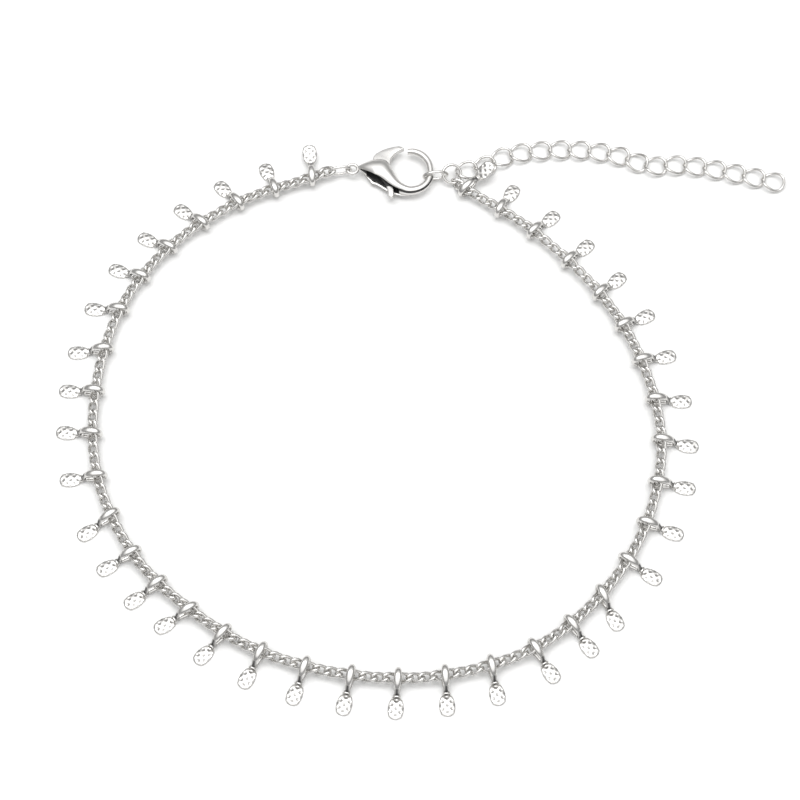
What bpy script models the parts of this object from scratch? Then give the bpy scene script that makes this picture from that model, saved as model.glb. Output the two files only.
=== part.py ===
"""Fine chain anklet laid open in a loop: paddle drops on wire bails along a curb chain,
a lobster clasp hooked to an oval link, and an extender chain of open links.
Metres, +Z up, the surface it lies on at z = 0, seen from -Y with the clasp at the back."""
import math

import bmesh
import bpy
import numpy as np
from mathutils import Matrix, Vector

MM = 0.001

# Curb chain, held here by a plain round stand-in of the chain's core
CHAIN_DIAMETER = 1.1 * MM
CHAIN_POINT_SPACING = 2.75 * MM
THREAD_CLEARANCE = 0.15 * MM
PIECE_GAP = 0.3 * MM

# Drop: a teardrop wire bail, a short neck and a flat oval paddle, soldered into one
BAIL_WIRE = 0.6 * MM
BAIL_WIRE_AT_NECK = 0.4 * MM
BAIL_CLEARANCE = 0.2 * MM
BAIL_REACH = 1.6 * MM
BAIL_NOSE_RADIUS = 0.26 * MM
NECK_DIAMETER = 0.7 * MM
NECK_LENGTH = 0.85 * MM
PADDLE_LENGTH = 2.9 * MM
PADDLE_WIDTH = 1.95 * MM
PADDLE_THICKNESS = 0.4 * MM
PADDLE_ROUNDNESS = 2.4

# Lobster clasp
CLASP_LENGTH = 12.0 * MM
CLASP_WIDTH = 7.1 * MM
CLASP_THICKNESS = 2.6 * MM
CLASP_BODY_WIDTH = 3.6 * MM
EYE_DIAMETER = 1.9 * MM
EYE_WIRE = 0.45 * MM
LEVER_THICKNESS = 0.8 * MM
LEVER_CLEARANCE = 0.15 * MM
PIN_DIAMETER = 0.7 * MM
PIN_LENGTH_SHARE = 0.8

# Links and ring beside the clasp
LINK_WIRE = 0.42 * MM
END_LINK_LENGTH = 3.3 * MM
END_LINK_WIDTH = 1.75 * MM
END_LINK_HEADING_DEG = 188.0
END_LINK_ROLL_DEG = 120.0
HOOK_LINK_LENGTH = 3.6 * MM
HOOK_LINK_WIDTH = 2.2 * MM
HOOK_LINK_HEADING_DEG = 6.0
HOOK_LINK_ROLL_DEG = 70.0
RING_DIAMETER = 2.9 * MM
RING_LEAN_DEG = 30.0
RING_TO_CHAIN_DEG = -72.0

# Extender chain
EXTENDER_LINK_COUNT = 17
EXTENDER_LINK_LENGTH = 3.4 * MM
EXTENDER_LINK_WIDTH = 3.0 * MM
EXTENDER_WIRE = 0.4 * MM
EXTENDER_TWIST_DEG = 30.0
SOLDER_OVERLAP = 0.1 * MM
FLOOR_GAP = 0.03 * MM

# Centre of the clasp's tail eye in the layout, in millimetres
CLASP_EYE_MM = (-6.5, 34.75)

# Route of the curb chain past every second drop but the last, counter-clockwise from the clasp,
# in millimetres, and its place at the last drop, from the jump ring's centre
CHAIN_ROUTE_MM = (
    (-12.0, 33.5), (-22.0, 29.5), (-31.0, 22.5), (-37.0, 13.0), (-39.5, 1.0), (-38.5, -11.0),
    (-33.5, -21.5), (-26.0, -29.0), (-17.0, -34.5), (-6.0, -37.5), (5.5, -37.5), (16.5, -34.0),
    (25.0, -27.0), (31.0, -17.5), (33.5, -6.0), (31.5, 5.5), (26.5, 15.5), (18.0, 25.0),
)
LAST_DROP_FROM_RING_MM = (1.82, -2.36)

# Route of the extender past its first link, in millimetres from the jump ring's centre
EXTENDER_ROUTE_MM = (
    (5.12, 1.94), (7.92, 3.44), (13.32, 4.24), (18.92, 4.14), (23.92, 3.04), (26.92, 1.74),
    (31.72, 1.84), (37.32, 0.84), (44.42, -0.96),
)

# Each drop's swing along the chain, in degrees from square to it
DROP_SWING_DEG = (
    -15, -1, 9, 12, 13, 9, 12, 11, -4, -13, -13, 8, -7, -12, -22, -11, -5, -5, -5,
    -4, -5, -6, 5, -2, -22, 1, 6, 6, -5, -8, -2, 3, 10, 4, -2, 7, -12,
)
# Drops that lean on something, by number from the clasp, with their lift in degrees
DROP_LIFT_DEG = {1: 15, 37: 26}

# Clasp body sections from tail to hook tip, as shares of the clasp's sizes
# x of the length, y of the width, half breadth of the body width, half height of the thickness
CLASP_SECTIONS = (
    (0.062, 0.015, 0.07, 0.07),
    (0.092, 0.030, 0.11, 0.16),
    (0.148, 0.020, 0.24, 0.31),
    (0.228, 0.000, 0.40, 0.44),
    (0.308, -0.045, 0.50, 0.50),
    (0.375, -0.160, 0.39, 0.48),
    (0.480, -0.360, 0.25, 0.39),
    (0.572, -0.452, 0.19, 0.31),
    (0.662, -0.486, 0.17, 0.25),
    (0.765, -0.440, 0.155, 0.22),
    (0.842, -0.324, 0.145, 0.20),
    (0.883, -0.155, 0.135, 0.19),
    (0.883, 0.045, 0.135, 0.19),
    (0.850, 0.204, 0.135, 0.19),
    (0.783, 0.330, 0.135, 0.19),
    (0.700, 0.390, 0.128, 0.185),
    (0.630, 0.395, 0.11, 0.16),
)
# Where the hook link hangs: a row of the table above
HOOK_SEAT_SECTION = 11

# Outlines in the clasp's plane, x as a share of its length and y of its width
PIN_PLACE = (0.343, 0.000)
LEVER_OUTLINE = (
    (0.592, 0.435), (0.535, 0.490), (0.430, 0.460), (0.325, 0.385), (0.245, 0.270), (0.238, 0.140),
    (0.262, -0.060), (0.320, -0.200), (0.372, -0.330), (0.400, -0.480), (0.412, -0.610),
    (0.442, -0.655), (0.470, -0.610), (0.468, -0.460), (0.440, -0.260), (0.432, -0.100),
    (0.432, 0.090), (0.440, 0.200), (0.480, 0.310), (0.535, 0.385),
)
LEVER_SLOT_OUTLINE = (
    (0.160, -0.600), (0.160, 0.600), (0.560, 0.600), (0.500, 0.060), (0.470, -0.200),
    (0.520, -0.430), (0.545, -0.600),
)

# Sides of each wire and points round each shape
WIRE_SIDES = 6
CHAIN_SIDES = 8
BAIL_BACK_POINTS = 8
BAIL_NOSE_POINTS = 3
PADDLE_POINTS = 14
CLAW_SIDES = 12
EYE_POINTS = 16
PIN_SIDES = 12
BORE_SIDES = 16
LINK_POINTS = 14
RING_POINTS = 16
EXTENDER_LINK_POINTS = 12
SHARP_DEG = 35.0
METAL = (0.86, 0.86, 0.87)


class Route:
    """A smooth curve through chosen points, measured by the distance along it."""

    STEPS = 24

    def __init__(self, points):
        points = [Vector(point) for point in points]
        first = points[0] * 2 - points[1]
        last = points[-1] * 2 - points[-2]
        padded = [first] + points + [last]
        places = [points[0]]
        for before, start, end, after in zip(padded, padded[1:], padded[2:], padded[3:]):
            for step in range(1, self.STEPS + 1):
                t = step / self.STEPS
                places.append(0.5 * (start * 2 + (end - before) * t
                                     + (before * 2 - start * 5 + end * 4 - after) * t ** 2
                                     + (start * 3 - before - end * 3 + after) * t ** 3))
        self.places = np.array(places)
        gaps = np.linalg.norm(np.diff(self.places, axis=0), axis=1)
        self.distances = np.concatenate(([0.0], np.cumsum(gaps)))
        self.knots = self.distances[::self.STEPS]
        self.length = float(self.distances[-1])

    def at(self, distance):
        return Vector([float(np.interp(distance, self.distances, self.places[:, axis]))
                       for axis in range(3)])

    def heading(self, distance, reach):
        """Yaw and downward pitch, in radians, of the chord that reaches this far both ways."""
        chord = self.at(distance + reach) - self.at(distance - reach)
        return math.atan2(chord.y, chord.x), math.atan2(-chord.z, math.hypot(chord.x, chord.y))

    def evenly(self, spacing):
        count = round(self.length / spacing) + 1
        return [self.at(distance) for distance in np.linspace(0.0, self.length, count)]


def clear_scene():
    for item in list(bpy.data.objects):
        bpy.data.objects.remove(item, do_unlink=True)


def new_collection(name):
    collection = bpy.data.collections.new(name)
    bpy.context.scene.collection.children.link(collection)
    return collection


def plated_metal(name, roughness):
    """Bright silver-coloured plating over brass."""
    metal = bpy.data.materials.new(name)
    metal.use_nodes = True
    shader = metal.node_tree.nodes["Principled BSDF"]
    shader.inputs["Base Color"].default_value = (*METAL, 1.0)
    shader.inputs["Metallic"].default_value = 1.0
    shader.inputs["Roughness"].default_value = roughness
    return metal


def add_mesh(name, mesh, collection, material=None):
    item = bpy.data.objects.new(name, mesh)
    collection.objects.link(item)
    if material and not mesh.materials:
        mesh.materials.append(material)
    return item


def curve_mesh(curve):
    """Closed mesh of a curve, its caps welded on."""
    item = bpy.data.objects.new("curve", curve)
    bpy.context.scene.collection.objects.link(item)
    evaluated = item.evaluated_get(bpy.context.evaluated_depsgraph_get())
    mesh = bpy.data.meshes.new_from_object(evaluated)
    bpy.data.objects.remove(item)
    shape = bmesh.new()
    shape.from_mesh(mesh)
    bmesh.ops.remove_doubles(shape, verts=shape.verts, dist=1e-6)
    bmesh.ops.recalc_face_normals(shape, faces=shape.faces)
    shape.to_mesh(mesh)
    shape.free()
    return mesh


def wire_mesh(points, radii, cyclic, sides=WIRE_SIDES):
    """Round wire along points, with a radius at each of them."""
    curve = bpy.data.curves.new("wire", "CURVE")
    curve.dimensions = "3D"
    curve.fill_mode = "FULL"
    curve.use_fill_caps = True
    curve.bevel_depth = 1.0
    curve.bevel_resolution = (sides - 4) // 2
    spline = curve.splines.new("POLY")
    spline.points.add(len(points) - 1)
    for place, point, radius in zip(spline.points, points, radii):
        place.co = (*point, 1.0)
        place.radius = radius
    spline.use_cyclic_u = cyclic
    return curve_mesh(curve)


def plate_mesh(outline, thickness):
    """Flat plate of an outline, centred on z = 0."""
    curve = bpy.data.curves.new("plate", "CURVE")
    curve.dimensions = "2D"
    curve.fill_mode = "BOTH"
    curve.extrude = thickness / 2
    spline = curve.splines.new("POLY")
    spline.points.add(len(outline) - 1)
    for place, (x, y) in zip(spline.points, outline):
        place.co = (x, y, 0.0, 1.0)
    spline.use_cyclic_u = True
    return curve_mesh(curve)


def rod_mesh(radius, length, sides, matrix):
    shape = bmesh.new()
    bmesh.ops.create_cone(shape, cap_ends=True, segments=sides, radius1=radius, radius2=radius,
                          depth=length, matrix=matrix)
    mesh = bpy.data.meshes.new("rod")
    shape.to_mesh(mesh)
    shape.free()
    return mesh


def combine(base, steps):
    """Join meshes to a base mesh, or cut them from it, in order."""
    scene = bpy.context.scene.collection
    target = add_mesh("base", base, scene)
    tools = []
    for operation, mesh in steps:
        tool = add_mesh("tool", mesh, scene)
        modifier = target.modifiers.new(operation.lower(), "BOOLEAN")
        modifier.object = tool
        modifier.operation = operation
        modifier.solver = "EXACT"
        tools.append(tool)
    evaluated = target.evaluated_get(bpy.context.evaluated_depsgraph_get())
    mesh = bpy.data.meshes.new_from_object(evaluated)
    for item in [target] + tools:
        bpy.data.objects.remove(item)
    return mesh


def finish(mesh, name):
    mesh.name = name
    mesh.shade_smooth()
    mesh.set_sharp_from_angle(angle=math.radians(SHARP_DEG))
    return mesh


def oval_path(length, width, twist_deg, count):
    """Centre line of an oval link along X whose two ends lean opposite ways when it is twisted.
    A short straight stands at each end, at exactly half the length."""
    lean = math.tan(math.radians(twist_deg))
    points = []
    for step in range(count):
        angle = 2 * math.pi * (step + 0.5) / count
        x = math.cos(angle) / math.cos(math.pi / count)
        y = width / 2 * math.sin(angle)
        points.append(Vector((length / 2 * x, y, y * lean * x)))
    return points


def link_mesh(length, width, wire, twist_deg=0.0, count=LINK_POINTS):
    points = oval_path(length - wire, width - wire, twist_deg, count)
    return wire_mesh(points, [wire / 2] * count, cyclic=True)


def turned(yaw, pitch=0.0, roll=0.0):
    """Rotation by roll about X, then pitch down about Y, then yaw about Z, in radians."""
    return (Matrix.Rotation(yaw, 4, "Z") @ Matrix.Rotation(pitch, 4, "Y")
            @ Matrix.Rotation(roll, 4, "X"))


BAIL_RADIUS = CHAIN_DIAMETER / 2 + BAIL_CLEARANCE + BAIL_WIRE / 2
CHAIN_HEIGHT = BAIL_RADIUS + BAIL_WIRE / 2
CLASP_HEIGHT = CLASP_THICKNESS / 2


def bail_wire():
    """Teardrop loop round the chain: a round back, two straight legs and a small nose."""
    nose_drop = CHAIN_HEIGHT - BAIL_NOSE_RADIUS - BAIL_WIRE_AT_NECK / 2
    distance = math.hypot(BAIL_REACH, nose_drop)
    fall = math.atan2(-nose_drop, BAIL_REACH)
    spread = math.acos((BAIL_RADIUS - BAIL_NOSE_RADIUS) / distance)
    points = []
    radii = []
    for angle in np.linspace(fall + spread, fall + 2 * math.pi - spread, BAIL_BACK_POINTS):
        points.append((BAIL_RADIUS * math.cos(angle), 0.0, BAIL_RADIUS * math.sin(angle)))
        radii.append(BAIL_WIRE / 2)
    for angle in np.linspace(fall - spread, fall + spread, BAIL_NOSE_POINTS):
        points.append((BAIL_REACH + BAIL_NOSE_RADIUS * math.cos(angle), 0.0,
                       BAIL_NOSE_RADIUS * math.sin(angle) - nose_drop))
        radii.append(BAIL_WIRE_AT_NECK / 2)
    return wire_mesh(points, radii, cyclic=True), nose_drop


def drop_mesh():
    """One soldered drop with its origin at the chain's centre, reaching out along +X."""
    bail, nose_drop = bail_wire()
    neck = rod_mesh(NECK_DIAMETER / 2, NECK_LENGTH, WIRE_SIDES,
                    Matrix.Translation((BAIL_REACH + NECK_LENGTH / 2, 0.0, -nose_drop))
                    @ Matrix.Rotation(math.pi / 2, 4, "Y"))
    start = BAIL_REACH + NECK_LENGTH / 2
    outline = []
    power = 2 / PADDLE_ROUNDNESS
    for step in range(PADDLE_POINTS):
        angle = 2 * math.pi * (step + 0.5) / PADDLE_POINTS
        across = math.copysign(abs(math.sin(angle)) ** power, math.sin(angle))
        along = math.copysign(abs(math.cos(angle)) ** power, math.cos(angle))
        outline.append((start + PADDLE_LENGTH / 2 * (1 + along), PADDLE_WIDTH / 2 * across))
    paddle = plate_mesh(outline, PADDLE_THICKNESS)
    paddle.transform(Matrix.Translation((0.0, 0.0, PADDLE_THICKNESS / 2 - CHAIN_HEIGHT)))
    return finish(combine(paddle, [("UNION", neck), ("UNION", bail)]), "drop")


def in_clasp_plane(shares):
    return [(x * CLASP_LENGTH, y * CLASP_WIDTH) for x, y in shares]


def claw_mesh():
    """Loft through the clasp's elliptical sections, each square to the line of their centres."""
    centres = [Vector((*place, 0.0)) for place in in_clasp_plane([row[:2] for row in CLASP_SECTIONS])]
    shape = bmesh.new()
    rings = []
    for index, (centre, row) in enumerate(zip(centres, CLASP_SECTIONS)):
        before = centres[max(index - 1, 0)]
        after = centres[min(index + 1, len(centres) - 1)]
        across = Vector((0.0, 0.0, 1.0)).cross((after - before).normalized())
        ring = []
        for step in range(CLAW_SIDES):
            angle = 2 * math.pi * (step + 0.5) / CLAW_SIDES
            offset = across * (row[2] * CLASP_BODY_WIDTH * math.cos(angle))
            offset.z = row[3] * CLASP_THICKNESS * math.sin(angle)
            ring.append(shape.verts.new(centre + offset))
        rings.append(ring)
    for ring, following in zip(rings, rings[1:]):
        for step in range(CLAW_SIDES):
            corner = (step + 1) % CLAW_SIDES
            shape.faces.new((ring[step], ring[corner], following[corner], following[step]))
    shape.faces.new(rings[0])
    shape.faces.new(rings[-1])
    bmesh.ops.recalc_face_normals(shape, faces=shape.faces)
    mesh = bpy.data.meshes.new("claw")
    shape.to_mesh(mesh)
    shape.free()
    return mesh


def eye_mesh():
    radius = (EYE_DIAMETER - EYE_WIRE) / 2
    points = [(radius * math.cos(angle), radius * math.sin(angle), 0.0)
              for angle in np.arange(EYE_POINTS) * 2 * math.pi / EYE_POINTS]
    return wire_mesh(points, [EYE_WIRE / 2] * EYE_POINTS, cyclic=True)


def clasp_body_mesh():
    """Claw and tail eye in one, slotted for the lever, with the lever's pin across the slot."""
    slot = plate_mesh(in_clasp_plane(LEVER_SLOT_OUTLINE), LEVER_THICKNESS + 2 * LEVER_CLEARANCE)
    (pin_x, pin_y), = in_clasp_plane([PIN_PLACE])
    pin = rod_mesh(PIN_DIAMETER / 2, PIN_LENGTH_SHARE * CLASP_THICKNESS, PIN_SIDES,
                   Matrix.Translation((pin_x, pin_y, 0.0)))
    return finish(combine(claw_mesh(), [("UNION", eye_mesh()), ("DIFFERENCE", slot), ("UNION", pin)]),
                  "clasp_body")


def lever_mesh():
    """Tongue, hub and thumb piece in one plate, its origin on the pin's axis."""
    (pin_x, pin_y), = in_clasp_plane([PIN_PLACE])
    plate = plate_mesh(in_clasp_plane(LEVER_OUTLINE), LEVER_THICKNESS)
    plate.transform(Matrix.Translation((-pin_x, -pin_y, 0.0)))
    bore = rod_mesh(PIN_DIAMETER / 2 + LEVER_CLEARANCE, 2 * LEVER_THICKNESS, BORE_SIDES,
                    Matrix.Identity(4))
    return finish(combine(plate, [("DIFFERENCE", bore)]), "clasp_lever")


def from_ring(ring, offset_mm, height):
    return Vector((ring.x + offset_mm[0] * MM, ring.y + offset_mm[1] * MM, height))


def layout():
    """Places worked out from the clasp's eye outwards, as points and angles."""
    eye = Vector((CLASP_EYE_MM[0] * MM, CLASP_EYE_MM[1] * MM, CLASP_HEIGHT))
    link_half = (END_LINK_LENGTH - LINK_WIRE) / 2
    eye_half = (EYE_DIAMETER - EYE_WIRE) / 2
    end_yaw = math.radians(END_LINK_HEADING_DEG)
    away = Vector((math.cos(end_yaw), math.sin(end_yaw), 0.0))
    inside = eye_half - EYE_WIRE / 2 - LINK_WIRE / 2 - THREAD_CLEARANCE
    end_link = eye + away * (inside + link_half)
    chain_start = end_link + away * (link_half + LINK_WIRE / 2 + PIECE_GAP)
    chain_start.z = CHAIN_HEIGHT

    seat = CLASP_SECTIONS[HOOK_SEAT_SECTION]
    seat_x, seat_y = in_clasp_plane([seat[:2]])[0]
    hook = eye + Vector((seat_x, seat_y, 0.0))
    hook_yaw = math.radians(HOOK_LINK_HEADING_DEG)
    along = Vector((math.cos(hook_yaw), math.sin(hook_yaw), 0.0))
    ring_half = (RING_DIAMETER - LINK_WIRE) / 2
    hook_half = (HOOK_LINK_LENGTH - LINK_WIRE) / 2
    behind_hook = seat[2] * CLASP_BODY_WIDTH + LINK_WIRE / 2 + THREAD_CLEARANCE
    hook_centre = hook_half - behind_hook
    ring_edge = hook_centre + hook_half - LINK_WIRE - THREAD_CLEARANCE
    hook_link = hook + along * hook_centre
    ring = hook + along * (ring_edge + ring_half)

    to_chain = math.radians(RING_TO_CHAIN_DEG)
    ring_to_chain = Vector((math.cos(to_chain), math.sin(to_chain), 0.0))
    chain_end = ring + ring_to_chain * (RING_DIAMETER / 2 + PIECE_GAP)
    chain_end.z = CHAIN_HEIGHT
    chain_points = [Vector((x * MM, y * MM, CHAIN_HEIGHT)) for x, y in CHAIN_ROUTE_MM]
    chain_points.append(from_ring(ring, LAST_DROP_FROM_RING_MM, CHAIN_HEIGHT))
    extender_height = extender_rise() + EXTENDER_WIRE / 2 + FLOOR_GAP
    ring_foot = Vector((ring.x, ring.y, ring.z - LINK_WIRE / 2))
    extender_points = [from_ring(ring, point, extender_height) for point in EXTENDER_ROUTE_MM]
    return {
        "eye": eye,
        "end_link": (end_link, end_yaw),
        "hook_link": (hook_link, hook_yaw),
        "ring": ring,
        "chain": Route([chain_start] + chain_points + [chain_end]),
        "extender": Route([ring_foot] + extender_points),
    }


def extender_rise():
    """Height that a twisted extender link's wire reaches above its own centre."""
    width = EXTENDER_LINK_WIDTH - EXTENDER_WIRE
    return max(point.z for point in oval_path(1.0, width, EXTENDER_TWIST_DEG, EXTENDER_LINK_POINTS))


def extender_mesh(route):
    """Every link soldered to the next where they bear on each other, as one body."""
    half = (EXTENDER_LINK_LENGTH - EXTENDER_WIRE) / 2
    pitch = 2 * half - EXTENDER_WIRE + SOLDER_OVERLAP
    ring_half = (RING_DIAMETER - LINK_WIRE) / 2
    start = ring_half - (LINK_WIRE + EXTENDER_WIRE) / 2 - THREAD_CLEARANCE + half
    pattern = link_mesh(EXTENDER_LINK_LENGTH, EXTENDER_LINK_WIDTH, EXTENDER_WIRE, EXTENDER_TWIST_DEG,
                        count=EXTENDER_LINK_POINTS)
    shapes = [bmesh.new(), bmesh.new()]
    for index in range(EXTENDER_LINK_COUNT):
        distance = start + pitch * index
        mesh = pattern.copy()
        turn = turned(*route.heading(distance, pitch / 2))
        mesh.transform(Matrix.Translation(route.at(distance)) @ turn)
        shapes[index % 2].from_mesh(mesh)
    halves = []
    for shape in shapes:
        mesh = bpy.data.meshes.new("links")
        shape.to_mesh(mesh)
        shape.free()
        halves.append(mesh)
    return finish(combine(halves[0], [("UNION", halves[1])]), "extender_chain")


def add_chain(route, parts, metal):
    points = route.evenly(CHAIN_POINT_SPACING)
    mesh = wire_mesh(points, [CHAIN_DIAMETER / 2] * len(points), cyclic=False, sides=CHAIN_SIDES)
    add_mesh("curb_chain", finish(mesh, "curb_chain"), parts, metal)


def add_drops(route, parts, metal):
    mesh = drop_mesh()
    knots = route.knots[1:-1]
    places = np.interp(np.arange(len(DROP_SWING_DEG)) / 2, np.arange(len(knots)), knots)
    for number, (distance, swing) in enumerate(zip(places, DROP_SWING_DEG), start=1):
        drop = add_mesh(f"drop_{number:02d}", mesh, parts, metal)
        yaw, _ = route.heading(distance, CHAIN_DIAMETER)
        outward = yaw - math.pi / 2 + math.radians(swing)
        lift = math.radians(DROP_LIFT_DEG.get(number, 0))
        drop.matrix_world = Matrix.Translation(route.at(distance)) @ turned(outward, -lift)


def add_clasp(eye, parts, metal):
    body = add_mesh("clasp_body", clasp_body_mesh(), parts, metal)
    body.location = eye
    lever = add_mesh("clasp_lever", lever_mesh(), parts, metal)
    (pin_x, pin_y), = in_clasp_plane([PIN_PLACE])
    lever.location = eye + Vector((pin_x, pin_y, 0.0))


def add_end_links(places, parts, metal):
    """The oval link at each end and the jump ring, each leaning to pass through the next."""
    end_centre, end_yaw = places["end_link"]
    mesh = finish(link_mesh(END_LINK_LENGTH, END_LINK_WIDTH, LINK_WIRE), "end_link")
    end_link = add_mesh("end_link", mesh, parts, metal)
    turn = turned(end_yaw, 0.0, math.radians(END_LINK_ROLL_DEG))
    end_link.matrix_world = Matrix.Translation(end_centre) @ turn
    hook_centre, hook_yaw = places["hook_link"]
    mesh = finish(link_mesh(HOOK_LINK_LENGTH, HOOK_LINK_WIDTH, LINK_WIRE), "hook_link")
    hook_link = add_mesh("hook_link", mesh, parts, metal)
    turn = turned(hook_yaw, 0.0, math.radians(HOOK_LINK_ROLL_DEG))
    hook_link.matrix_world = Matrix.Translation(hook_centre) @ turn
    mesh = finish(link_mesh(RING_DIAMETER, RING_DIAMETER, LINK_WIRE, count=RING_POINTS), "jump_ring")
    ring = add_mesh("jump_ring", mesh, parts, metal)
    heading, _ = places["extender"].heading(RING_DIAMETER, RING_DIAMETER)
    turn = turned(heading, 0.0, math.radians(RING_LEAN_DEG))
    ring.matrix_world = Matrix.Translation(places["ring"]) @ turn


def centre_on_origin(parts):
    """Shift the whole layout so that the middle of its footprint is the origin."""
    bpy.context.view_layer.update()
    corners = np.array([item.matrix_world @ vertex.co for item in parts.objects
                        for vertex in item.data.vertices])
    middle = (corners.min(axis=0) + corners.max(axis=0)) / 2
    for item in parts.objects:
        item.matrix_world = Matrix.Translation((-middle[0], -middle[1], 0.0)) @ item.matrix_world
    return middle


def build():
    clear_scene()
    parts = new_collection("chain_anklet")
    places = layout()
    add_chain(places["chain"], parts, plated_metal("chain_plating", 0.18))
    add_drops(places["chain"], parts, plated_metal("drop_plating", 0.15))
    add_clasp(places["eye"], parts, plated_metal("clasp_plating", 0.12))
    add_end_links(places, parts, plated_metal("link_plating", 0.15))
    add_mesh("extender_chain", extender_mesh(places["extender"]), parts,
             plated_metal("extender_plating", 0.15))
    return centre_on_origin(parts)


if __name__ == "__main__":
    build()
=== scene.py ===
"""Fine chain anklet laid open in a loop: paddle drops on wire bails along a curb chain,
a lobster clasp hooked to an oval link, and an extender of open twisted links."""
import math

import bmesh
import bpy
import numpy as np
from mathutils import Matrix, Vector


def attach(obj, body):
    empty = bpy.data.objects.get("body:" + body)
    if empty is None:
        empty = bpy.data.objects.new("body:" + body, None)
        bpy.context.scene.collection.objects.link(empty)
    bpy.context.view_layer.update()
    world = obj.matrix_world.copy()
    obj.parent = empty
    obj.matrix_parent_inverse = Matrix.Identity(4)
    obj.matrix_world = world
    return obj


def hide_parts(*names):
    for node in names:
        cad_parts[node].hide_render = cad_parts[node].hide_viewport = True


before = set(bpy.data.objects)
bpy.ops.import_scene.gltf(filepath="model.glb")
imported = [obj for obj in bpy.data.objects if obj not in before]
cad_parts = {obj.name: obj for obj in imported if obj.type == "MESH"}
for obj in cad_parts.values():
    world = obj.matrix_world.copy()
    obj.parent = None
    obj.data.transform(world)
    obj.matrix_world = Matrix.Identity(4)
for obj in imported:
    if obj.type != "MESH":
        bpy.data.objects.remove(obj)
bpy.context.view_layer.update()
bpy.ops.object.select_all(action="DESELECT")

# Camera, in front of the anklet and looking down on it at 64 degrees, as the photograph does.
# The anklet's layout is drawn in millimetres round the middle of the picture.
MM = 0.001
LAYOUT_MIDDLE_MM = Vector((4.1204, -1.5407, 0.0))
CAMERA_ELEVATION = math.radians(64)
CAMERA_DISTANCE = 274.56
CAMERA_LENS = 95.5
CAMERA_AIM_MM = Vector((0.0, -0.28, 1.2))


def placed(x, y, z=0.0):
    """A point of the layout, in metres in the model's frame."""
    return (Vector((x, y, z)) - LAYOUT_MIDDLE_MM) * MM


back_and_up = Vector((0.0, -math.cos(CAMERA_ELEVATION), math.sin(CAMERA_ELEVATION)))
bpy.ops.object.camera_add(location=placed(*(CAMERA_AIM_MM + back_and_up * CAMERA_DISTANCE)),
                          rotation=(math.pi / 2 - CAMERA_ELEVATION, 0.0, 0.0))
camera = bpy.context.object
camera.data.lens = CAMERA_LENS
camera.data.clip_start = 0.01
bpy.context.scene.camera = camera

# Light: a white tent over a white table. The tent's lower edge is darker, which draws the
# grey lines along the polished wires, and one wide lamp behind throws the soft shadows forward.
TENT_STOPS = ((0.0, 0.26), (0.38, 0.26), (0.60, 0.30), (0.80, 0.90), (1.0, 1.0))
TENT_STRENGTH = 1.5
LAMP_PLACE = (-0.035, 0.085, 0.49)
LAMP_TURN = (-0.17, -0.07, 0.0)
LAMP_SIZE = (0.42, 0.22)
LAMP_ENERGY = 0.85
TABLE_SIZE = 1.6
bpy.context.scene.view_settings.view_transform = "Standard"


class Shade:
    """A socket of a node tree. Sums of sockets and numbers add their Math nodes."""

    def __init__(self, tree, socket=None):
        self.tree = tree
        self.socket = socket

    def node(self, kind, settings, inputs, output=0):
        """A new node: its settings first, then the values or links of its sockets."""
        item = self.tree.nodes.new(kind)
        for name, value in settings.items():
            if name == "stops":
                stops = item.color_ramp.elements
                while len(stops) < len(value):
                    stops.new(0.5)
                for stop, (position, grey) in zip(stops, value):
                    stop.position = position
                    stop.color = (grey, grey, grey, 1.0)
            else:
                setattr(item, name, value)
        for name, value in inputs.items():
            if isinstance(value, Shade):
                self.tree.links.new(value.socket, item.inputs[name])
            else:
                item.inputs[name].default_value = value
        return Shade(self.tree, item.outputs[output])

    def sum(self, operation, first, second):
        return self.node("ShaderNodeMath", {"operation": operation}, {0: first, 1: second})

    def __add__(self, other):
        return self.sum("ADD", self, other)

    def __radd__(self, other):
        return self.sum("ADD", other, self)

    def __rmul__(self, other):
        return self.sum("MULTIPLY", other, self)


world = bpy.data.worlds.new("tent")
world.use_nodes = True
bpy.context.scene.world = world
tent = Shade(world.node_tree)
direction = tent.node("ShaderNodeTexCoord", {}, {})
height = tent.node("ShaderNodeSeparateXYZ", {}, {0: direction}, output=2)
tent_grey = tent.node("ShaderNodeValToRGB", {"stops": TENT_STOPS}, {"Fac": height})
backdrop = world.node_tree.nodes["Background"]
world.node_tree.links.new(tent_grey.socket, backdrop.inputs["Color"])
backdrop.inputs["Strength"].default_value = TENT_STRENGTH

bpy.ops.object.light_add(type="AREA", location=LAMP_PLACE, rotation=LAMP_TURN)
lamp = bpy.context.object
lamp.name = "rear_softbox"
lamp.data.shape = "RECTANGLE"
lamp.data.size, lamp.data.size_y = LAMP_SIZE
lamp.data.energy = LAMP_ENERGY

bpy.ops.mesh.primitive_plane_add(size=TABLE_SIZE)
table = bpy.context.object
table.name = "white_table"
paper = bpy.data.materials.new("table_card")
paper.use_nodes = True
card = Shade(paper.node_tree)
card_place = card.node("ShaderNodeTexCoord", {}, {}, output=3)
card_tooth = card.node("ShaderNodeTexNoise", {},
                       {"Vector": card_place, "Scale": 900.0, "Detail": 3.0})
card_shader = paper.node_tree.nodes["Principled BSDF"]
card_shader.inputs["Base Color"].default_value = (0.93, 0.93, 0.925, 1.0)
card_shader.inputs["Specular IOR Level"].default_value = 0.2
paper.node_tree.links.new((0.62 + 0.1 * card_tooth).socket, card_shader.inputs["Roughness"])
table.data.materials.append(paper)

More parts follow.
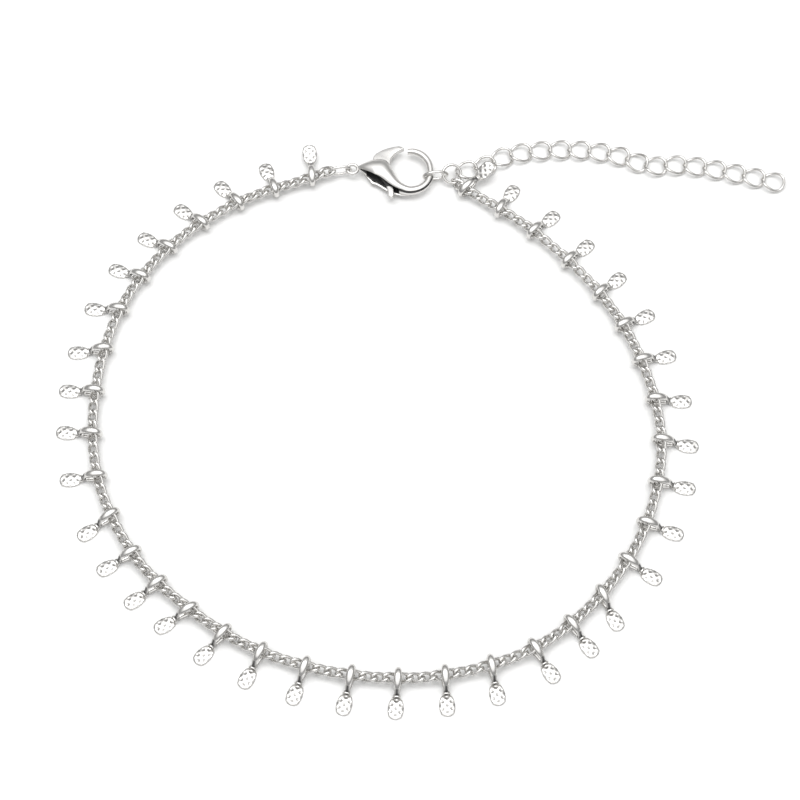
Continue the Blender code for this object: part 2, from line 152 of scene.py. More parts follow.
# Curb chain: fine oval links of round wire, each twisted so that its neighbours lie flat in it.
# The links are closed one in the next, and the whole chain is plated. It is one piece here,
# in place of the plain rod that stands for it in the frame.
CHAIN_HEIGHT = 1.35
CHAIN_START_MM = (-9.996, 34.258)
CHAIN_ROUTE_MM = (
    (-12.0, 33.5), (-22.0, 29.5), (-31.0, 22.5), (-37.0, 13.0), (-39.5, 1.0), (-38.5, -11.0),
    (-33.5, -21.5), (-26.0, -29.0), (-17.0, -34.5), (-6.0, -37.5), (5.5, -37.5), (16.5, -34.0),
    (25.0, -27.0), (31.0, -17.5), (33.5, -6.0), (31.5, 5.5), (26.5, 15.5), (18.0, 25.0),
    (8.904, 31.604),
)
CHAIN_END_MM = (7.624, 32.300)
CURB_WIRE = 0.46
CURB_HALF_LENGTH = 1.04
CURB_HALF_WIDTH = 0.52
CURB_TWIST = math.radians(-120)
CURB_POINTS = 16
CURB_ROUNDNESS = 0.8
CURB_PITCH = 1.45
LINKS_PER_SPAN = 8
LINKS_IN_LAST_SPAN = 7.5
CHAIN_SAG = 0.25
LINK_ROLL_DEG = 5
FIRST_LINKS_ROLL_DEG = (-28, -12)
LAST_LINKS_ROLL_DEG = (-4, -12, -22, -32, -42)
RING_NEAR_WIRE_MM = Vector((7.55, 32.98, 0.68))
END_LINK_SHARES = (1.06, 1.12, 1.12, 1.0)
plated_white = (0.785, 0.775, 0.758)
plated_grey = (0.655, 0.642, 0.622)


class SmoothRoute:
    """A smooth curve through rows of numbers, measured by the distance along it."""

    STEPS = 24

    def __init__(self, rows):
        rows = [np.array(row, dtype=float) for row in rows]
        padded = [rows[0] * 2 - rows[1]] + rows + [rows[-1] * 2 - rows[-2]]
        places = [rows[0]]
        for before, start, end, after in zip(padded, padded[1:], padded[2:], padded[3:]):
            for step in range(1, self.STEPS + 1):
                t = step / self.STEPS
                places.append(0.5 * (start * 2 + (end - before) * t
                                     + (before * 2 - start * 5 + end * 4 - after) * t ** 2
                                     + (start * 3 - before - end * 3 + after) * t ** 3))
        self.places = np.array(places)
        gaps = np.linalg.norm(np.diff(self.places, axis=0), axis=1)
        self.distances = np.concatenate(([0.0], np.cumsum(gaps)))
        self.knots = self.distances[::self.STEPS]

    def at(self, distance):
        return [float(np.interp(distance, self.distances, column)) for column in self.places.T]

    def heading(self, distance, reach):
        """Yaw and downward pitch of the chord that reaches this far both ways."""
        chord = Vector(self.at(distance + reach)) - Vector(self.at(distance - reach))
        return math.atan2(chord.y, chord.x), math.atan2(-chord.z, math.hypot(chord.x, chord.y))


def turned(yaw, pitch=0.0, roll=0.0):
    return (Matrix.Rotation(yaw, 4, "Z") @ Matrix.Rotation(pitch, 4, "Y")
            @ Matrix.Rotation(roll, 4, "X"))


def select_points(piece, wanted):
    """Edit mode on one piece, with only the wanted points selected."""
    bpy.ops.object.select_all(action="DESELECT")
    piece.select_set(True)
    bpy.context.view_layer.objects.active = piece
    bpy.ops.object.mode_set(mode="EDIT")
    bpy.ops.mesh.select_mode(type="VERT")
    bpy.ops.mesh.select_all(action="DESELECT")
    shape = bmesh.from_edit_mesh(piece.data)
    for point in shape.verts:
        point.select = bool(wanted(point.co))
    shape.select_flush(True)
    bmesh.update_edit_mesh(piece.data)


def object_mode():
    bpy.ops.object.mode_set(mode="OBJECT")


def apply_modifier(piece, kind, **settings):
    modifier = piece.modifiers.new(kind.lower(), kind)
    for name, value in settings.items():
        setattr(modifier, name, value)
    bpy.context.view_layer.objects.active = piece
    bpy.ops.object.modifier_apply(modifier=modifier.name)


def joined(items, name):
    """Several meshes as one piece."""
    bpy.ops.object.select_all(action="DESELECT")
    for item in items:
        item.select_set(True)
    bpy.context.view_layer.objects.active = items[0]
    if len(items) > 1:
        bpy.ops.object.join()
    items[0].name = name
    items[0].data.name = name
    bpy.ops.object.select_all(action="DESELECT")
    return items[0]


def copied(pattern, place, name):
    """A copy with its own mesh, its place (in millimetres) in the mesh."""
    mesh = pattern.data.copy()
    mesh.transform(place)
    item = bpy.data.objects.new(name, mesh)
    bpy.context.scene.collection.objects.link(item)
    return item


def settled(place_mm, turn):
    """Matrix that scales a pattern from millimetres, turns it and sets it in the layout."""
    return Matrix.Translation(placed(*place_mm)) @ turn @ Matrix.Scale(MM, 4)


def smooth(piece, angle_deg):
    bpy.ops.object.select_all(action="DESELECT")
    piece.select_set(True)
    bpy.context.view_layer.objects.active = piece
    bpy.ops.object.shade_smooth_by_angle(angle=math.radians(angle_deg))
    piece.select_set(False)


def plating(name, bright, dim, gloss, painted_shade_name=None):
    """Bright plating, a touch uneven in tone and gloss, with fine polishing marks. Where the
    mesh carries a painted-shade attribute, painted shade darkens the tone and dulls the gloss."""
    metal = bpy.data.materials.new(name)
    metal.use_nodes = True
    tree = metal.node_tree
    surface = Shade(tree)
    place = surface.node("ShaderNodeTexCoord", {}, {}, output=3)
    cloud = surface.node("ShaderNodeTexNoise", {}, {"Vector": place, "Scale": 900.0, "Detail": 3.0})
    tone = surface.node("ShaderNodeMix", {"data_type": "RGBA"},
                        {0: cloud, 6: (*dim, 1.0), 7: (*bright, 1.0)}, output=2)
    stretched = surface.node("ShaderNodeMapping", {}, {"Vector": place, "Scale": (1.0, 5.0, 2.0)})
    marks = surface.node("ShaderNodeTexNoise", {},
                         {"Vector": stretched, "Scale": 6000.0, "Detail": 2.0})
    rough = gloss + 0.10 * cloud + 0.05 * marks
    if painted_shade_name:
        # Painted shade: the mesh's attribute mixes the tone towards near black there.
        painted_shade = surface.node("ShaderNodeAttribute", {"attribute_name": painted_shade_name}, {}, output=2)
        tone = surface.node("ShaderNodeMix", {"data_type": "RGBA"},
                            {0: painted_shade, 6: tone, 7: (0.03, 0.03, 0.032, 1.0)}, output=2)
        rough = rough + 0.3 * painted_shade
    bump = surface.node("ShaderNodeBump", {},
                        {"Strength": 0.15, "Distance": 0.00002, "Height": marks})
    shader = tree.nodes["Principled BSDF"]
    shader.inputs["Metallic"].default_value = 1.0
    tree.links.new(tone.socket, shader.inputs["Base Color"])
    tree.links.new(rough.socket, shader.inputs["Roughness"])
    tree.links.new(bump.socket, shader.inputs["Normal"])
    return metal


def bent_wire(points, radii, sides, closed=True, steps=4):
    """Round wire bent smoothly through points, with its own radius at each."""
    bpy.ops.curve.primitive_bezier_circle_add(radius=1.0)
    wire = bpy.context.object
    wire.data.bevel_depth = 1.0
    wire.data.bevel_resolution = (sides - 4) // 2
    wire.data.resolution_u = steps
    wire.data.use_fill_caps = not closed
    line = wire.data.splines[0]
    line.use_cyclic_u = closed
    line.bezier_points.add(len(points) - 4)
    for knot, point, radius in zip(line.bezier_points, points, radii):
        knot.co = point
        knot.radius = radius
        knot.handle_left_type = "AUTO"
        knot.handle_right_type = "AUTO"
    bpy.ops.object.convert(target="MESH")
    return bpy.context.object


chain_route = SmoothRoute([(*CHAIN_START_MM, CHAIN_HEIGHT)]
                          + [(*point, CHAIN_HEIGHT) for point in CHAIN_ROUTE_MM]
                          + [(*CHAIN_END_MM, CHAIN_HEIGHT)])
drop_knots = chain_route.knots[1:-1]
link_distances = [drop_knots[0] - 1.5 * CURB_PITCH, drop_knots[0] - 0.5 * CURB_PITCH]
for start, end in zip(drop_knots[:-2], drop_knots[1:-1]):
    for step in range(LINKS_PER_SPAN):
        link_distances.append(start + (step + 0.5) * (end - start) / LINKS_PER_SPAN)
last_pitch = (drop_knots[-1] - drop_knots[-2]) / LINKS_IN_LAST_SPAN
for step in range(math.ceil(LINKS_IN_LAST_SPAN)):
    link_distances.append(drop_knots[-2] + (step + 0.5) * last_pitch)
link_distances.append(drop_knots[-1] + CURB_PITCH)

curb_points = []
for step in range(CURB_POINTS):
    angle = 2 * math.pi * (step + 0.5) / CURB_POINTS
    x, y = [half * math.copysign(abs(share) ** CURB_ROUNDNESS, share) for half, share in
            ((CURB_HALF_LENGTH, math.cos(angle)), (CURB_HALF_WIDTH, math.sin(angle)))]
    lean = CURB_TWIST * x / (2 * CURB_HALF_LENGTH)
    curb_points.append((x, y * math.cos(lean), y * math.sin(lean)))
curb_link = bent_wire(curb_points, [CURB_WIRE / 2] * CURB_POINTS, sides=6, steps=1)

curb_links = []
for number, distance in enumerate(link_distances):
    x, y, z = chain_route.at(distance)
    phase = np.interp(distance, drop_knots, 2 * np.arange(len(drop_knots)))
    z -= CHAIN_SAG * math.sin(math.pi * phase) ** 2
    yaw, _ = chain_route.heading(distance, CURB_PITCH / 2)
    roll = LINK_ROLL_DEG * math.sin(1.7 * number)
    to_end = number - len(link_distances)
    if number < len(FIRST_LINKS_ROLL_DEG):
        roll = FIRST_LINKS_ROLL_DEG[number]
    if to_end >= -len(LAST_LINKS_ROLL_DEG):
        roll = LAST_LINKS_ROLL_DEG[to_end]
    turn = turned(yaw, 0.0, math.radians(roll))
    if to_end == -1:
        before = Vector(chain_route.at(drop_knots[-1]))
        way = (RING_NEAR_WIRE_MM - before).normalized()
        x, y, z = before + way * CURB_PITCH
        turn = turned(math.atan2(way.y, way.x), -math.asin(way.z), math.radians(roll))
    if to_end == -1 or number == 0:
        turn = turn @ Matrix.Diagonal(END_LINK_SHARES)
    curb_links.append(copied(curb_link, settled((x, y, z), turn), "curb_link"))
bpy.data.objects.remove(curb_link)
chain = joined(curb_links, "curb_links")
smooth(chain, 70)
chain.data.materials.append(plating("chain_rhodium", plated_white, plated_grey, 0.10))
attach(chain, "anklet")
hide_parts("curb_chain")

# Drops: a tapered wire is bent into a loop round the chain and soldered into a small bell-shaped
# cap at the top of an oval paddle, which is stamped with a diamond pattern and plated.
# There are 37, each hanging at its own angle.
DROP_SWING_DEG = (
    -15, -1, 9, 12, 13, 9, 12, 11, -4, -13, -13, 8, -7, -12, -22, -11, -5, -5, -5,
    -4, -5, -6, 5, -2, -22, 1, 6, 6, -5, -8, -2, 3, 10, 4, -2, 7, -12,
)
DROP_LIFT_DEG = {1: 15, 37: 26}
# The bail seen from its side, round the chain's middle: x, height and the wire's radius
BAIL_PROFILE = (
    (-1.11, 0.00, 0.23), (-0.90, 0.58, 0.22), (-0.38, 0.84, 0.22), (0.22, 0.86, 0.22),
    (0.82, 0.70, 0.22), (1.34, 0.34, 0.22), (1.68, -0.20, 0.21), (1.80, -0.66, 0.20),
    (1.78, -0.94, 0.20), (1.54, -1.12, 0.20), (1.00, -1.11, 0.22), (0.30, -1.05, 0.24),
    (-0.42, -0.94, 0.24), (-0.94, -0.56, 0.23),
)
BAIL_BROADENING = ((-1.4, -0.6, 0.3, 1.2, 1.9), (1.3, 1.9, 2.15, 1.85, 1.4))
NECK_DROP = 0.89
PADDLE_START = 2.12
PADDLE_LENGTH = 2.80
PADDLE_WIDTH = 1.95
PADDLE_SQUARENESS = 0.4
PADDLE_TAPER = 0.06
PADDLE_RIM = 0.14
PADDLE_DOME = 0.22
PADDLE_GRID = (34, 24)
STAMP_PITCH = (0.95, 1.05)
STAMP_DEPTH = 0.08
# How dark the painted shade in the stamp's pits gets
STAMP_SHADE = 0.6
SOLDER_RADII = (0.26, 0.25, 0.30)
CAP_START = 1.84
CAP_LENGTH = 0.34
CAP_RADII = (0.5, 0.36)
CAP_WIDTH = 1.05
CAP_HEIGHT = 0.76
CAP_LIP = 0.08
# Painted shade at each drop's neck, for the dark hollow between the bail's tip and the cap: where
# it starts along the drop, its half width and its depth
NECK_SHADE_START = 1.5
NECK_SHADE_WIDTH = 0.43
NECK_SHADE_DEPTH = 0.95

bail = bent_wire([(x, 0.0, height) for x, height, _ in BAIL_PROFILE],
                 [radius for _, _, radius in BAIL_PROFILE], sides=12)
for point in bail.data.vertices:
    point.co.y *= np.interp(point.co.x, *BAIL_BROADENING)

bpy.ops.mesh.primitive_uv_sphere_add(segments=12, ring_count=8, radius=1.0,
                                     location=(CAP_START - 0.04, 0.0, -NECK_DROP),
                                     scale=SOLDER_RADII)
solder = bpy.context.object
bpy.ops.object.transform_apply()

bpy.ops.mesh.primitive_cone_add(vertices=20, radius1=CAP_RADII[0], radius2=CAP_RADII[1],
                                depth=CAP_LENGTH, rotation=(0.0, -math.pi / 2, 0.0),
                                location=(CAP_START + CAP_LENGTH / 2, 0.0, -NECK_DROP),
                                scale=(CAP_HEIGHT, CAP_WIDTH, 1.0))
cap = bpy.context.object
bpy.ops.object.transform_apply()
apply_modifier(cap, "BEVEL", width=0.08, segments=3, limit_method="ANGLE",
               angle_limit=math.radians(40))

bpy.ops.mesh.primitive_torus_add(major_segments=20, minor_segments=6,
                                 major_radius=0.45, minor_radius=CAP_LIP,
                                 location=(CAP_START + CAP_LENGTH, 0.0, -NECK_DROP),
                                 rotation=(0.0, math.pi / 2, 0.0))
lip = bpy.context.object
bpy.ops.object.transform_apply()
for point in lip.data.vertices:
    point.co.y *= CAP_WIDTH
    point.co.z = (point.co.z + NECK_DROP) * CAP_HEIGHT - NECK_DROP


def stamp(along, aside):
    """The diamond pattern's depth, as a share, at a place from the paddle's middle."""
    one_way = math.cos(math.pi * (along / STAMP_PITCH[0] + aside / STAMP_PITCH[1]))
    other_way = math.cos(math.pi * (along / STAMP_PITCH[0] - aside / STAMP_PITCH[1]))
    return abs(one_way) * abs(other_way)


bpy.ops.mesh.primitive_grid_add(x_subdivisions=PADDLE_GRID[0], y_subdivisions=PADDLE_GRID[1],
                                size=2)
paddle = bpy.context.object
for point in paddle.data.vertices:
    u, v = point.co.x, point.co.y
    x = u * math.sqrt(1 - v * v * PADDLE_SQUARENESS)
    y = v * math.sqrt(1 - u * u * PADDLE_SQUARENESS)
    inside = 1 - max(abs(u), abs(v)) ** 2
    along = x * PADDLE_LENGTH / 2
    aside = y * (1 + PADDLE_TAPER * x) * PADDLE_WIDTH / 2
    stamped = min(1.0, inside * 4.0) * stamp(along, aside) ** 2.2
    top = PADDLE_RIM + PADDLE_DOME * inside ** 0.6 - STAMP_DEPTH * stamped
    point.co = (PADDLE_START + PADDLE_LENGTH / 2 + along, aside, top - CHAIN_HEIGHT)
# Painted shade in the stamp's pits, darkest at the pattern's deepest places.
painted_shade = paddle.data.attributes.new("stamp_recess", "FLOAT", "POINT")
for point, mark in zip(paddle.data.vertices, painted_shade.data):
    along = point.co.x - PADDLE_START - PADDLE_LENGTH / 2
    aside = point.co.y
    inside = max(0.0, 1 - (2 * along / PADDLE_LENGTH) ** 2 - (2 * aside / PADDLE_WIDTH) ** 2)
    mark.value = STAMP_SHADE * min(1.0, inside * 4.0) * stamp(along, aside) ** 3
# Painted shade on the bail's tip, the solder and the cap, strongest on their middle line.
for neck in (solder, cap, bail):
    painted_shade = neck.data.attributes.new("stamp_recess", "FLOAT", "POINT")
    for point, mark in zip(neck.data.vertices, painted_shade.data):
        mark.value = (NECK_SHADE_DEPTH * max(0.0, 1.0 - abs(point.co.y) / NECK_SHADE_WIDTH)
                      * min(1.0, max(0.0, (point.co.x - NECK_SHADE_START) / 0.12)))
select_points(paddle, lambda place: True)
bpy.ops.mesh.region_to_loop()
bpy.ops.mesh.extrude_edges_move(TRANSFORM_OT_translate={"value": (0.0, 0.0, -PADDLE_RIM * 0.6)})
bpy.ops.mesh.extrude_edges_move(TRANSFORM_OT_translate={"value": (0.0, 0.0, -PADDLE_RIM * 0.4)})
bpy.ops.transform.resize(value=(0.95, 0.92, 1.0))
bpy.ops.mesh.edge_face_add()
bpy.ops.mesh.select_all(action="SELECT")
bpy.ops.mesh.normals_make_consistent(inside=False)
object_mode()

drop = joined([paddle, cap, lip, bail, solder], "drop_pattern")
smooth(drop, 50)
drop.data.materials.clear()
drop.data.materials.append(plating("drop_rhodium", plated_white, plated_grey, 0.14,
                                   "stamp_recess"))
drop_distances = np.interp(np.arange(len(DROP_SWING_DEG)) / 2, np.arange(len(drop_knots)),
                           drop_knots)
for number, (distance, swing) in enumerate(zip(drop_distances, DROP_SWING_DEG), start=1):
    yaw, _ = chain_route.heading(distance, 1.1)
    outward = yaw - math.pi / 2 + math.radians(swing)
    turn = turned(outward, -math.radians(DROP_LIFT_DEG.get(number, 0)))
    hung = copied(drop, settled(chain_route.at(distance), turn), f"paddle_drop_{number:02d}")
    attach(hung, "anklet")
    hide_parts(f"drop_{number:02d}")
bpy.data.objects.remove(drop)

# Lobster clasp, body: a cast claw, round and full at the back and drawn out into a hook.
# It is hollow for the lever, with a slot along its outer edge that runs out in the hook.
CLASP_EYE_MM = (-6.5, 34.75, 1.3)
CLASP_LENGTH = 12.0
CLASP_WIDTH = 7.1
CLASP_THICKNESS = 2.6
CLASP_BODY_WIDTH = 3.6
CLASP_SECTIONS = (
    (0.062, 0.015, 0.07, 0.07), (0.092, 0.030, 0.11, 0.16), (0.148, 0.020, 0.24, 0.31),
    (0.228, 0.000, 0.40, 0.44), (0.308, -0.045, 0.50, 0.50), (0.375, -0.160, 0.39, 0.48),
    (0.480, -0.360, 0.25, 0.39), (0.572, -0.452, 0.19, 0.31), (0.662, -0.486, 0.17, 0.25),
    (0.765, -0.440, 0.155, 0.22), (0.842, -0.324, 0.145, 0.20), (0.883, -0.155, 0.135, 0.19),
    (0.883, 0.045, 0.135, 0.19), (0.850, 0.204, 0.135, 0.19), (0.783, 0.330, 0.135, 0.19),
    (0.700, 0.390, 0.128, 0.185), (0.630, 0.395, 0.11, 0.16),
)
# The slot follows the claw: which section it is at, how far it lies towards the claw's outer
# edge and above its middle (as shares of the section), its half breadth and half height in mm
SLOT_SECTIONS = (
    (1, 0.85, 0.45, 0.10, 0.10), (2, 0.85, 0.48, 0.22, 0.22), (3, 0.84, 0.48, 0.36, 0.36),
    (4, 0.84, 0.48, 0.46, 0.46), (5, 0.84, 0.48, 0.42, 0.42), (6, 0.82, 0.54, 0.28, 0.26),
    (7, 0.80, 0.60, 0.19, 0.18), (8, 0.79, 0.61, 0.17, 0.16), (9, 0.79, 0.61, 0.16, 0.15),
    (10, 0.80, 0.60, 0.14, 0.13), (11, 0.85, 0.52, 0.08, 0.07),
)
# The slot's lower lip stands out along the body, in the same columns
LIP_SECTIONS = (
    (2, 0.80, -0.64, 0.06, 0.06), (3, 0.90, -0.54, 0.26, 0.15), (4, 0.92, -0.50, 0.32, 0.16),
    (5, 0.93, -0.52, 0.32, 0.16), (6, 0.95, -0.58, 0.28, 0.14), (7, 0.95, -0.58, 0.20, 0.12),
    (8, 0.80, -0.70, 0.05, 0.05),
)
LEVER_THICKNESS = 0.8
LEVER_CLEARANCE = 0.15
LEVER_SLOT_OUTLINE = (
    (0.160, -0.600), (0.160, 0.600), (0.560, 0.600), (0.500, 0.060), (0.470, -0.200),
    (0.520, -0.430), (0.545, -0.600),
)
PIN_PLACE = (0.343, 0.000)
PIN_DIAMETER = 0.7
EYE_DIAMETER = 1.9
EYE_WIRE = 0.45


def lofted(places, sides):
    """A tube grown ring by ring: a disc is extruded, and each new ring moved to its place."""
    bpy.ops.mesh.primitive_circle_add(vertices=sides, radius=1.0, fill_type="NGON")
    piece = bpy.context.object
    bpy.ops.object.mode_set(mode="EDIT")
    bpy.ops.mesh.select_all(action="SELECT")
    before = Matrix.Identity(4)
    for number, place in enumerate(places):
        if number:
            bpy.ops.mesh.extrude_region()
        shape = bmesh.from_edit_mesh(piece.data)
        step = place @ before.inverted()
        for point in shape.verts:
            if point.select:
                point.co = step @ point.co
        bmesh.update_edit_mesh(piece.data)
        before = place
    bpy.ops.mesh.select_all(action="SELECT")
    bpy.ops.mesh.normals_make_consistent(inside=False)
    object_mode()
    return piece


def ring_places(rows, steps):
    """Matrices that set a unit disc square to the line of the rows, steps between each two.
    A row holds the centre's x and y, its rise, the half breadth and the half height."""
    rows = np.array(rows)
    chords = (np.vstack((rows[1:2], rows[2:], rows[-1:]))
              - np.vstack((rows[:1], rows[:-2], rows[-2:-1])))
    angles = np.unwrap(np.arctan2(chords[:, 1], chords[:, 0]))
    line = SmoothRoute(np.column_stack((rows, angles)))
    places = []
    for x, y, rise, breadth, height, angle in line.places[::line.STEPS // steps]:
        axes = Matrix(((-math.sin(angle) * breadth, 0.0, math.cos(angle)),
                       (math.cos(angle) * breadth, 0.0, math.sin(angle)),
                       (0.0, height, 0.0))).to_4x4()
        places.append(Matrix.Translation((x, y, rise)) @ axes)
    return places


def plate(outline, thickness):
    """Flat plate of an outline in the clasp's plane, centred on its height."""
    bpy.ops.mesh.primitive_circle_add(vertices=len(outline), radius=1.0, fill_type="NGON")
    piece = bpy.context.object
    for point, (x, y) in zip(piece.data.vertices, outline):
        point.co = (x, y, -thickness / 2)
    select_points(piece, lambda place: True)
    bpy.ops.mesh.extrude_region_move(TRANSFORM_OT_translate={"value": (0.0, 0.0, thickness)})
    bpy.ops.mesh.select_all(action="SELECT")
    bpy.ops.mesh.normals_make_consistent(inside=False)
    object_mode()
    return piece


def carved(piece, tool, operation="DIFFERENCE"):
    apply_modifier(piece, "BOOLEAN", object=tool, operation=operation, solver="EXACT",
                   material_mode="TRANSFER")
    bpy.data.objects.remove(tool)


def sized(shares):
    return [(x * CLASP_LENGTH, y * CLASP_WIDTH) for x, y in shares]


# Painted shadow for the inside of the slot: a near-black, rough material, grainy in tone.
painted_slot_shadow = bpy.data.materials.new("slot_shadow")
painted_slot_shadow.use_nodes = True
hollow = Shade(painted_slot_shadow.node_tree)
hollow_place = hollow.node("ShaderNodeTexCoord", {}, {}, output=3)
hollow_grain = hollow.node("ShaderNodeTexNoise", {}, {"Vector": hollow_place, "Scale": 5000.0})
hollow_tone = hollow.node("ShaderNodeMix", {"data_type": "RGBA"},
                          {0: hollow_grain, 6: (0.03, 0.03, 0.03, 1.0), 7: (0.08, 0.08, 0.08, 1.0)},
                          output=2)
hollow_shader = painted_slot_shadow.node_tree.nodes["Principled BSDF"]
hollow_shader.inputs["Metallic"].default_value = 0.6
painted_slot_shadow.node_tree.links.new(hollow_tone.socket, hollow_shader.inputs["Base Color"])
painted_slot_shadow.node_tree.links.new((0.45 + 0.2 * hollow_grain).socket, hollow_shader.inputs["Roughness"])
clasp_metal = plating("clasp_rhodium", plated_white, plated_grey, 0.24)

claw_rows = [(x * CLASP_LENGTH, y * CLASP_WIDTH, 0.0,
              breadth * CLASP_BODY_WIDTH, height * CLASP_THICKNESS)
             for x, y, breadth, height in CLASP_SECTIONS]
claw_places = ring_places(claw_rows, steps=6)
claw = lofted(claw_places, sides=28)
claw.data.materials.append(clasp_metal)
bpy.ops.mesh.primitive_torus_add(major_segments=40, minor_segments=14,
                                 major_radius=(EYE_DIAMETER - EYE_WIRE) / 2,
                                 minor_radius=EYE_WIRE / 2)
tail_eye = bpy.context.object
tail_eye.data.materials.append(clasp_metal)
carved(claw, tail_eye, "UNION")


def along_claw(rows, sides):
    """A tube along the claw, its rows placed in the claw's own sections."""
    placed_rows = []
    for section, outward, rise, breadth, height in rows:
        middle = claw_places[6 * section] @ Vector((-outward, rise, 0.0))
        placed_rows.append((*middle, breadth, height))
    return lofted(ring_places(placed_rows, steps=4), sides)


# The slot and the lever's room are cut with the painted shadow, which their cut faces take.
slot_cutter = along_claw(SLOT_SECTIONS, 16)
slot_cutter.data.materials.append(painted_slot_shadow)
carved(claw, slot_cutter)
lever_room = plate(sized(LEVER_SLOT_OUTLINE), LEVER_THICKNESS + 2 * LEVER_CLEARANCE)
lever_room.data.materials.append(painted_slot_shadow)
carved(claw, lever_room)
(pin_x, pin_y), = sized([PIN_PLACE])
bpy.ops.mesh.primitive_cylinder_add(vertices=20, radius=PIN_DIAMETER / 2,
                                    depth=0.8 * CLASP_THICKNESS, location=(pin_x, pin_y, 0.0))
pin = bpy.context.object
bpy.ops.object.transform_apply()
pin.data.materials.append(clasp_metal)
carved(claw, pin, "UNION")
lower_lip = along_claw(LIP_SECTIONS, 12)
lower_lip.data.materials.append(clasp_metal)
claw = joined([claw, lower_lip], "claw_body")
claw.data.transform(settled(CLASP_EYE_MM, Matrix.Identity(4)))
smooth(claw, 40)
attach(claw, "anklet")
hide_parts("clasp_body")

# Lobster clasp, lever: a stamped plate with the tongue at one end and the thumb's nub at the
# other. It turns on the pin through the body, and a spring inside holds the tongue on the hook.
LEVER_OUTLINE = (
    (0.592, 0.435), (0.535, 0.490), (0.430, 0.460), (0.325, 0.385), (0.245, 0.270), (0.238, 0.140),
    (0.262, -0.060), (0.320, -0.200), (0.372, -0.330), (0.400, -0.480), (0.412, -0.610),
    (0.442, -0.655), (0.470, -0.610), (0.468, -0.460), (0.440, -0.260), (0.432, -0.100),
    (0.432, 0.090), (0.440, 0.200), (0.480, 0.310), (0.535, 0.385),
)
# The arm inside the slot gets painted shadow, between these two distances from the clasp's middle
# line
LEVER_SHADED_ARM = (-3.0, -1.2)
LEVER_EDGE = 0.24
lever_points = sized(LEVER_OUTLINE)
lever_line = SmoothRoute(lever_points + lever_points[:1])
lever = plate([tuple(row) for row in lever_line.places[:-1:6]], LEVER_THICKNESS)
bpy.ops.mesh.primitive_cylinder_add(vertices=28, radius=PIN_DIAMETER / 2 + LEVER_CLEARANCE,
                                    depth=2 * LEVER_THICKNESS, location=(pin_x, pin_y, 0.0))
bore = bpy.context.object
bpy.ops.object.transform_apply()
carved(lever, bore)
apply_modifier(lever, "BEVEL", width=LEVER_EDGE, segments=3, limit_method="ANGLE",
               angle_limit=math.radians(50))
select_points(lever, lambda place: True)
for edge in LEVER_SHADED_ARM:
    bpy.ops.mesh.select_all(action="SELECT")
    bpy.ops.mesh.bisect(plane_co=(0.0, edge, 0.0), plane_no=(0.0, 1.0, 0.0))
object_mode()
lever.data.materials.clear()
lever.data.materials.append(plating("lever_rhodium", (0.70, 0.69, 0.675), (0.58, 0.57, 0.555), 0.2))
lever.data.materials.append(painted_slot_shadow)
# Painted shadow: the arm's faces inside the slot take the slot's dark material.
for face in lever.data.polygons:
    face.material_index = int(LEVER_SHADED_ARM[0] < face.center.y < LEVER_SHADED_ARM[1])
lever.data.transform(settled(CLASP_EYE_MM, Matrix.Identity(4)))
lever = joined([lever], "claw_tongue")
smooth(lever, 40)
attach(lever, "lever")
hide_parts("clasp_lever")

# End link, hook link and jump ring: ovals and a ring of round wire, bent closed round each other.
# The end link holds the chain to the clasp's eye, the clasp is closed on the hook link, and the
# ring holds the hook link, the chain's other end and the extender.
LINK_WIRE = 0.39
END_LINK = {"length": 3.3, "width": 1.75, "place": (-8.2, 34.51, 1.3),
            "heading": 188.0, "roll": 100.0}
HOOK_LINK = {"length": 3.6, "width": 2.2, "place": (4.8359, 33.7273, 1.3),
             "heading": 6.0, "roll": 90.0}
JUMP_RING = {"length": 2.9, "width": 2.9, "place": (7.0836, 33.9635, 1.3),
             "heading": 21.0, "roll": 30.0}


def oval_link(length, width, wire, sides, twist_deg=0.0, count=12, steps=4):
    """Oval link along X, its ends leaning opposite ways where it is twisted."""
    lean = math.tan(math.radians(twist_deg))
    points = []
    for step in range(count):
        angle = 2 * math.pi * (step + 0.5) / count
        x = math.cos(angle)
        y = (width - wire) / 2 * math.sin(angle)
        points.append(((length - wire) / 2 * x, y, y * lean * x))
    return bent_wire(points, [wire / 2] * count, sides, steps=steps)


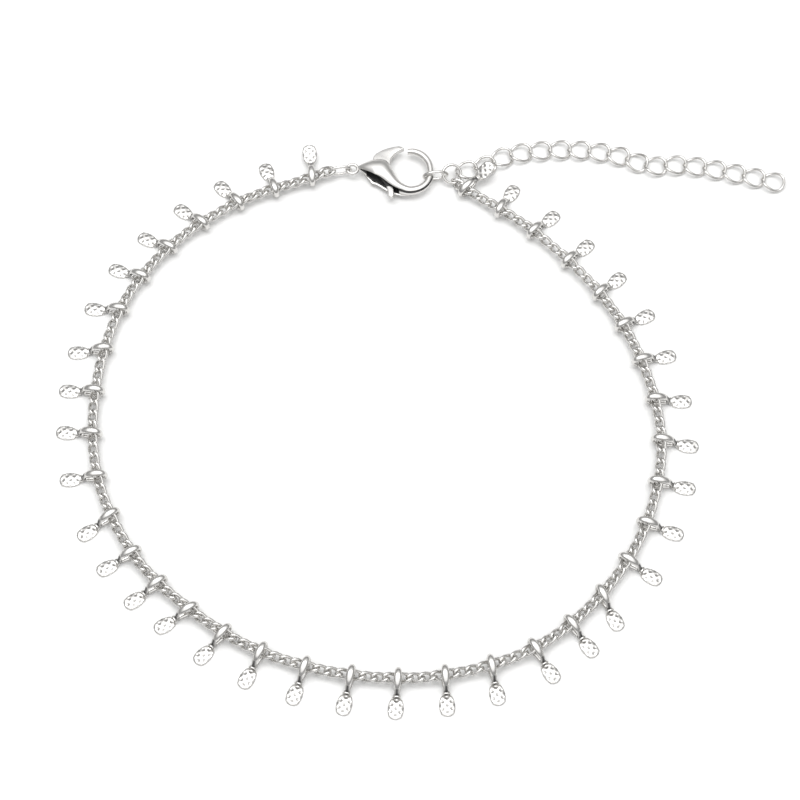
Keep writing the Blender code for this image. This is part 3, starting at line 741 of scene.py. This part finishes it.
link_metal = plating("link_rhodium", plated_white, plated_grey, 0.08)
for name, node, link in (("tail_link", "end_link", END_LINK), ("hook_oval", "hook_link", HOOK_LINK),
                         ("joining_ring", "jump_ring", JUMP_RING)):
    shape = oval_link(link["length"], link["width"], LINK_WIRE, sides=12)
    turn = turned(math.radians(link["heading"]), 0.0, math.radians(link["roll"]))
    shape.data.transform(settled(link["place"], turn))
    shape = joined([shape], name)
    smooth(shape, 60)
    shape.data.materials.append(link_metal)
    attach(shape, "anklet")
    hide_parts(node)

# Extender: seventeen open links of round wire, twisted so that each lies flat through the next,
# soldered closed. It is one piece, as in the frame, and its last link lies free.
EXTENDER_LINK_COUNT = 17
EXTENDER_LINK_LENGTH = 3.4
EXTENDER_LINK_WIDTH = 3.0
EXTENDER_WIRE = 0.4
EXTENDER_TWIST_DEG = 30.0
EXTENDER_PITCH = 2.7
EXTENDER_START = 2.18
EXTENDER_START_HEIGHT = 1.09
EXTENDER_HEIGHT = 0.6185
EXTENDER_ROUTE_MM = (
    (5.12, 1.94), (7.92, 3.44), (13.32, 4.24), (18.92, 4.14), (23.92, 3.04), (26.92, 1.74),
    (31.72, 1.84), (37.32, 0.84), (44.42, -0.96),
)
ring_x, ring_y, _ = JUMP_RING["place"]
extender_route = SmoothRoute([(ring_x, ring_y, EXTENDER_START_HEIGHT)]
                             + [(ring_x + x, ring_y + y, EXTENDER_HEIGHT)
                                for x, y in EXTENDER_ROUTE_MM])
open_link = oval_link(EXTENDER_LINK_LENGTH, EXTENDER_LINK_WIDTH, EXTENDER_WIRE, 10,
                      EXTENDER_TWIST_DEG)
open_links = []
for number in range(EXTENDER_LINK_COUNT):
    distance = EXTENDER_START + EXTENDER_PITCH * number
    turn = turned(*extender_route.heading(distance, EXTENDER_PITCH / 2))
    open_links.append(copied(open_link, settled(extender_route.at(distance), turn), "open_link"))
bpy.data.objects.remove(open_link)
extender = joined(open_links, "extender_links")
smooth(extender, 60)
extender.data.materials.append(plating("extender_rhodium", plated_white, plated_grey, 0.09))
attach(extender, "anklet")
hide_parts("extender_chain")
